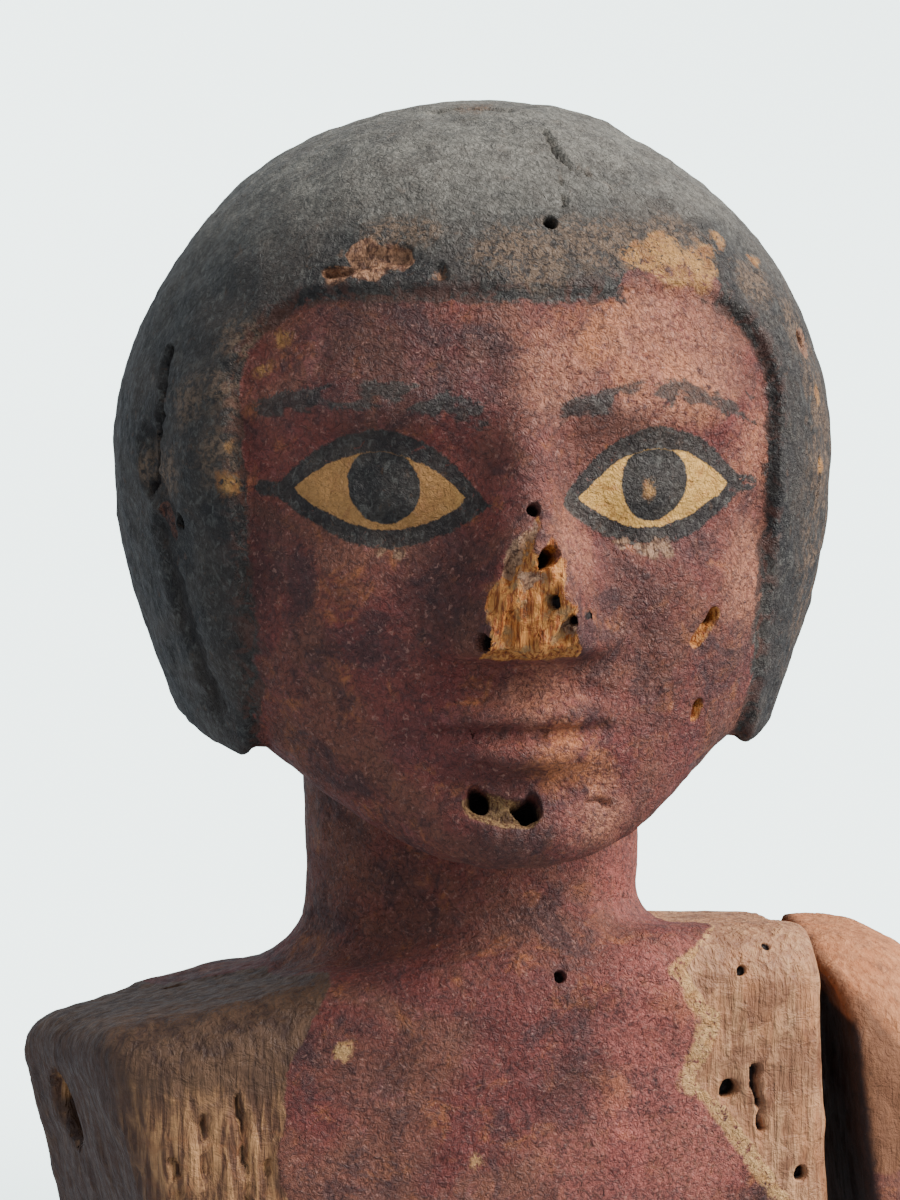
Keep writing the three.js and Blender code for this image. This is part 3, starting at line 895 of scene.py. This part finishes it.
def wood_under_paint(f, up, coarse, crisp):
    """Bare wood by its place: tan, torn, brown or sawn on the shoulders, orange or brown on the head."""
    wood, fibres = bare_wood(f, linear(210, 157, 114), linear(158, 106, 75), linear(198, 130, 86))
    wood = f.patches(wood, (138, 92, 67), (0.46, 0.62, 0.75), 2.8, 4, 0.65, 0.5, shift=23.0)
    torn = f.two_tones(fibres, 0.38, 0.66, (108, 72, 52), (210, 154, 104))
    torn = f.mix(f.step(coarse, 0.5, 0.7, 0.5), torn, linear(172, 108, 66))
    right_side = f.step(f.place_along("X"), -6 * MM, -10 * MM)
    wood = f.mix(right_side, wood, torn)
    brown = f.two_tones(coarse, 0.35, 0.65, (72, 50, 42), (108, 80, 62))
    height = f.math("MULTIPLY_ADD", f.math("SUBTRACT", coarse, 0.5), 6 * MM, f.place_along("Z"))
    high = f.math("MAXIMUM", f.step(up, 0.02, 0.3, 0.9), f.step(height, 14.5 * MM, 18 * MM, 0.85))
    wood = f.mix(f.math("MULTIPLY", right_side, high), wood, brown)
    sawn = f.two_tones(coarse, 0.3, 0.7, (58, 40, 37), (86, 60, 50))
    wood = f.mix(f.mask("sawn", 0.5, coarse, 0.9), wood, sawn)

    splinters = f.noise(0.2, 2, 0.65, 0.3, (1, 1, 8), shift=3.0)
    in_break = f.two_tones(splinters, 0.38, 0.62, (152, 78, 32), (218, 146, 76))
    in_break = f.patches(in_break, (158, 128, 88), (0.52, 0.66, 0.75), 1.3, 4, 0.65, 0.3, shift=7.0)
    at_chin = f.two_tones(splinters, 0.38, 0.62, (112, 76, 54), (184, 144, 98))
    in_break = f.mix(f.step(f.place_along("Z"), 38 * MM, 36 * MM), in_break, at_chin)
    in_break = f.mix(f.step(splinters, 0.40, 0.28, 0.85), in_break, linear(78, 42, 24))
    chip = f.two_tones(crisp, 0.35, 0.65, (96, 62, 46), (168, 122, 90))
    left_chip = f.two_tones(crisp, 0.35, 0.65, (60, 38, 34), (124, 78, 60))
    chip = f.mix(f.step(f.place_along("X"), -13 * MM, -16 * MM), chip, left_chip)
    in_head = f.mix(f.step(f.place_along("Y"), -16.5 * MM, -15.5 * MM), in_break, chip)
    wood = f.mix(f.step(f.place_along("Z"), *NECK_FOOT), wood, in_head)
    plaster = f.two_tones(crisp, 0.36, 0.62, (92, 62, 48), (170, 130, 100))
    return f.mix(f.mask("plaster", 0.4, crisp, 0.12), wood, plaster), fibres


def hair_paint(f, black, black_relief, up, coarse, crisp):
    """Black hair, grey with dust and a painted sheen where it faces up, brown where it is rubbed, on its
    left side and at its edge.
    """
    # Where the hair faces up it turns grey: partly dust, partly a painted sheen.
    cloudy = f.math("MULTIPLY_ADD", f.step(f.noise(1.9, 4, 0.7, 0.5, shift=5.0), 0.34, 0.64), 0.55, 0.45)
    dust_and_sheen = f.math("MULTIPLY", f.step(up, 0.15, 0.95, 0.77), cloudy)
    dust_and_sheen = f.math("MULTIPLY", dust_and_sheen, f.step(f.area("hair"), 1.6, 7.0))
    grey = f.two_tones(black_relief, 0.3, 0.7, (122, 118, 108), (164, 158, 146))
    dusty = f.mix(dust_and_sheen, black, grey)
    brown = f.two_tones(crisp, 0.38, 0.62, (72, 56, 46), (134, 108, 86))
    rubbed = f.math("MULTIPLY", f.mask("rubbed", 1.3, coarse, 0.8, 0.8), f.step(crisp, 0.22, 0.58))
    dusty = f.mix(rubbed, dusty, brown)
    flecks = f.step(f.noise(1.2, 4, 0.75, 0.4, (1, 1, 1.5), shift=21.0), 0.45, 0.57)
    on_left = f.math("MULTIPLY", f.step(f.place_along("X"), 14.2 * MM, 17 * MM), f.step(up, 0.75, 0.2))
    patchy = f.step(f.noise(5.0, 3, 0.6, 0.5, shift=25.0), 0.46, 0.62, 0.6)
    in_front = f.math("MAXIMUM", f.step(f.place_along("Y"), -7 * MM, -12 * MM), patchy)
    dusty = f.mix(f.math("MULTIPLY", flecks, f.math("MULTIPLY", on_left, in_front)), dusty, brown)
    edge = f.math("MULTIPLY", f.step(f.area("hair"), 1.8, 0.2, 0.7), f.step(coarse, 0.46, 0.60))
    return f.mix(edge, dusty, linear(104, 64, 52))


def painted_head():
    """Red paint, black hair and brows, the eyes, then the worn and bare places over them and the painted
    shade of the hollows.
    """
    f = Finish("worn_paint_on_wood")
    coarse = f.noise(1.1, 4, 0.65, 0.6, shift=11.0)
    crisp = f.noise(0.35, 2, 0.6, 0.8, shift=12.0)
    up = f.area("up")
    # The pale mask is rubbed, dusty paint and painted highlights; the stain mask is dirt and painted shade.
    pale = f.math("MULTIPLY", f.mask("pale", 1.6, coarse, 1.4, 0.62), f.step(crisp, 0.25, 0.60))
    thin = f.math("MULTIPLY", f.mask("thin", 1.8, coarse, 0.7, 0.85), f.step(crisp, 0.25, 0.55))
    stain_and_shade = f.mask("stain_and_shade", 1.6, coarse, 1.6, 0.5)
    red, red_relief = red_paint(f, pale, thin, stain_and_shade)
    black, black_relief = black_paint(f)
    wood, fibres = wood_under_paint(f, up, coarse, crisp)
    hair = f.mask("hair", 0.9, coarse, 0.16)
    colour = f.mix(hair, red, hair_paint(f, black, black_relief, up, coarse, crisp))

    left_over = f.step(f.noise(1.7, 3, 0.5, 0.3, (1.8, 1.8, 1), shift=15.0), 0.47, 0.53)
    brow = f.math("MULTIPLY", f.mask("brow", 0.5, crisp), f.math("MULTIPLY", left_over, 0.85))
    colour = f.mix(brow, colour, black)
    worn_line = f.step(f.noise(0.8, 4, 0.7, 0.8, shift=16.0), 0.28, 0.40, 0.96)
    colour = f.mix(f.math("MULTIPLY", f.mask("line", 0.25, crisp, 0.08), worn_line), colour, black)
    yellowed = f.step(f.noise(0.9, 3, 0.7, 0.8, shift=13.0), 0.46, 0.72, 0.85)
    cream = f.mix(yellowed, linear(240, 184, 98), linear(196, 130, 66))
    # Painted shade: the cream of the eye on the figure's right, the side away from the light, is darker.
    cream = f.mix(f.step(f.place_along("X"), -2 * MM, -8 * MM, 0.75), cream, linear(168, 116, 74))
    colour = f.mix(f.mask("almond", 0.14, crisp, 0.05), colour, cream)
    iris = f.math("MULTIPLY", f.mask("iris", 0.1, crisp, 0.05), f.mask("almond", 0.1, crisp, 0.05))
    colour = f.mix(iris, colour, black)

    ground = f.two_tones(coarse, 0.4, 0.65, (210, 154, 88), (162, 108, 64))
    tan_ground = f.two_tones(coarse, 0.4, 0.65, (236, 184, 122), (208, 150, 92))
    ground = f.mix(f.step(f.place_along("Z"), *NECK_FOOT), tan_ground, ground)
    ground = f.mix(f.step(red_relief, 0.5, 0.66, 0.5), ground, linear(104, 74, 52))
    ochre = f.math("MULTIPLY", f.mask("ochre", 0.9, coarse, 0.25, 0.92), f.step(crisp, 0.32, 0.48))
    colour = f.mix(ochre, colour, ground)
    bare = f.math("MAXIMUM", f.mask("bare", 0.5, coarse, 0.1), f.mask("cut", 0.1, crisp, 0.06))
    colour = f.mix(bare, colour, wood)
    # Painted shade in the worm holes, dents and cuts.
    colour = f.mix(f.step(f.area("dark"), 0.2, 0.75), colour, linear(28, 17, 15))
    relief = f.mix(f.step(f.area("bare"), -0.1, 0.2), red_relief, fibres)
    rough = f.math("ADD", f.step(f.noise(0.6, 2, 0.5), 0.3, 0.7, 0.2), 0.46)
    return f.finish(colour, rough, [(f.noise(1.0, 4, 0.65, 0.6), 0.36), (relief, 0.28)])


def arm_finish():
    """Bare wood with red paint low down, and painted shade beside the gap at the joint: brown at the
    joint's rim and dark inside it.
    """
    f = Finish("bare_wood_with_red")
    coarse = f.noise(1.1, 4, 0.65, 0.6, shift=11.0)
    wood, fibres = bare_wood(f, linear(222, 150, 104), linear(178, 112, 74), linear(200, 122, 78))
    wood = f.patches(wood, (142, 94, 66), (0.50, 0.68, 0.42), 2.8, 4, 0.65, 0.5, shift=23.0)
    # Painted shade: brown along the rim beside the gap's upper part.
    wood = f.mix(f.mask("rim", 0.7, coarse, 0.35, 0.75), wood, linear(104, 70, 50))
    red, red_relief = red_paint(f)
    colour = f.mix(f.mask("red", 0.8, coarse, 0.3, 0.9), wood, red)
    # Painted shade: the inner face in the gap beside the joint is nearly black.
    inner = f.two_tones(coarse, 0.3, 0.7, (38, 30, 31), (58, 42, 40))
    colour = f.mix(f.mask("inner", 0.3, coarse, 0.3), colour, inner)
    relief = f.mix(0.4, fibres, red_relief)
    return f.finish(colour, 0.8, [(f.noise(0.9, 4, 0.65, 0.5), 0.22), (relief, 0.2)])


# Pieces

head = fine_copy("head_and_torso", "carved_head_and_torso")
points = relax(body_form, head.data, draw_onto(body_form, vertices(head.data), 4), 4)
set_vertices(head.data, points)
places, _ = on_surface(body_form, HOLES)
holes = [(*place, hole[3] + 0.45) for place, hole in zip(places, HOLES)]
hollows = []
for line, radius, _ in CUTS + DENTS:
    hollows += [(*point, radius + 0.3) for point in on_surface(body_form, line)[0]]
nose_break = on_nose(0.3, 46.5, 3.6)
refine(head, holes + hollows + [nose_break])
refine(head, [(x, y, z, min(radius, 1.1)) for x, y, z, radius in holes])
points = draw_onto(body_form, vertices(head.data), 2)
areas = dict(zip(("almond", "line", "iris", "brow"), eye_areas(points)))
areas.update(hair=hair_area(points), bare=bare_area(points), ochre=ochre_area(points))
for name, spots, seed in (
    ("rubbed", RUBBED_SPOTS, 58),
    ("pale", PALE_SPOTS, 60),
    ("thin", THIN_SPOTS, 62),
    ("stain_and_shade", STAINS_AND_SHADE, 63),
    ("plaster", PLASTER_SPOTS, 59),
):
    areas[name] = spots_area(body_form, points, spots, seed)
areas["lump"] = lump(points)
areas["sawn"] = beyond(RIGHT_JOINT, points) + 0.6
areas["up"] = unit(gradient(body_form, points))[:, 2]
worn, areas["dark"], areas["cut"] = dig(body_form, points)
set_vertices(head.data, worn + carve(points) - points)
for name, values in areas.items():
    store(head.data, name, values)

arm = fine_copy("left_arm", "carved_left_arm")
points = relax(arm_form, arm.data, draw_onto(arm_form, vertices(arm.data), 4), 4)
height = 0.15 * noise(points, 6.0, 21) + 0.11 * noise(points, 2.2, 22) + 0.06 * noise(points, 1.1, 24)
height += 0.07 * grain(points)
height *= off_cut(points)
set_vertices(arm.data, points + height[:, None] * unit(gradient(arm_form, points)))
store(arm.data, "red", 8.5 - points[:, 2] + 0.7 * layered_noise(points, 3.0, 23))
store(arm.data, "lump", lump(points))
# rim and inner hold the painted shade beside the gap at the joint.
store(arm.data, "rim", 1.0 - gap_beside(points, *ARM_GAP_ABOVE))
store(arm.data, "inner", np.minimum(0.5 - gap_beside(points, *ARM_GAP_BELOW), 17.5 - points[:, 2]))

triangles = [sum(len(face.vertices) - 2 for face in piece.data.polygons) for piece in (head, arm)]
print("triangles", triangles)

for piece, node, slot, finish in (
    (head, "head_and_torso", "painted_wood", painted_head()),
    (arm, "left_arm", "bare_wood", arm_finish()),
):
    piece.data.materials.clear()
    piece.data.materials.append(finish)
    piece.data.polygons.foreach_set("use_smooth", [True] * len(piece.data.polygons))
    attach(piece, "root")
    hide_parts(node)


# Stage: a pale bowl, flat under the figure and rising far away on all sides. Its sizes are metres.

FLOOR_RADIUS = 0.8
BEND_RADIUS = 0.6
WALL_TOP = 2.4


def floor_finish():
    """A pale tone that glows for the camera only, so that it lights nothing."""
    f = Finish("pale_floor")
    tone = f.two_tones(f.noise(60, 3), 0.3, 0.7, (240, 245, 245), (243, 248, 248))
    f.shader.inputs["Emission Color"].default_value = (0.80, 0.98, 0.95, 1)
    f.shader.inputs["Emission Strength"].default_value = 2.8
    f.material.cycles.emission_sampling = "NONE"
    return f.finish(tone, 0.9, [(f.noise(1.5, 2), 0.02)])


def stage():
    rings = [(0.0, 0.0), (0.2, 0.0), (FLOOR_RADIUS, 0.0)]
    for bend in np.linspace(0.1, math.pi / 2, 16):
        height = BEND_RADIUS - BEND_RADIUS * math.cos(bend)
        rings.append((FLOOR_RADIUS + BEND_RADIUS * math.sin(bend), height))
    rings.append((FLOOR_RADIUS + BEND_RADIUS, WALL_TOP))
    count = 96
    points = []
    for radius, height in rings:
        for turn in np.linspace(0, 2 * math.pi, count, False):
            points.append((radius * math.cos(turn), radius * math.sin(turn), height))
    faces = []
    for row in range(len(rings) - 1):
        inner, outer = row * count, (row + 1) * count
        for i in range(count):
            after = (i + 1) % count
            faces.append((inner + i, inner + after, outer + after, outer + i))
    mesh = bpy.data.meshes.new("floor")
    mesh.from_pydata(points, [], faces)
    mesh.polygons.foreach_set("use_smooth", [True] * len(faces))
    mesh.materials.append(floor_finish())
    bowl = bpy.data.objects.new("floor", mesh)
    bpy.context.scene.collection.objects.link(bowl)
    bowl.visible_shadow = False
    bowl.visible_diffuse = False
    bowl.visible_glossy = False


stage()


# Camera and lights. The window is one wide sun, and the room's own light is even and cool.

CAMERA_AT = (-53.8, -171.5, 65.5)
CAMERA_TARGET = (-1.58, -0.6, 43.58)
LENS = 89.1
WINDOW_AT = (900, -420, 860)
WINDOW_TARGET = (0, 0, 40)
WINDOW_STRENGTH = 5.9
WINDOW_COLOUR = (1.0, 0.98, 0.95)
WINDOW_SPREAD = math.radians(46)
ROOM_COLOUR = (0.84, 0.95, 1.05, 1)
ROOM_STRENGTH = 0.55


def aim(item, place, target):
    direction = np.array(target, float) - np.array(place, float)
    item.location = np.array(place, float) * MM
    item.rotation_euler = Vector(direction).to_track_quat("-Z", "Y").to_euler()


camera = bpy.data.objects.new("camera", bpy.data.cameras.new("camera"))
bpy.context.scene.collection.objects.link(camera)
camera.data.sensor_fit = "AUTO"
camera.data.sensor_width = 36
camera.data.lens = LENS
camera.data.clip_start = 0.01
camera.data.clip_end = 20
aim(camera, CAMERA_AT, CAMERA_TARGET)
bpy.context.scene.camera = camera


sun = bpy.data.lights.new("window", "SUN")
sun.energy = WINDOW_STRENGTH
sun.color = WINDOW_COLOUR
sun.angle = WINDOW_SPREAD
window = bpy.data.objects.new("window", sun)
bpy.context.scene.collection.objects.link(window)
aim(window, WINDOW_AT, WINDOW_TARGET)

world = bpy.data.worlds.new("room")
world.use_nodes = True
background = world.node_tree.nodes["Background"]
background.inputs["Color"].default_value = ROOM_COLOUR
background.inputs["Strength"].default_value = ROOM_STRENGTH
bpy.context.scene.world = world
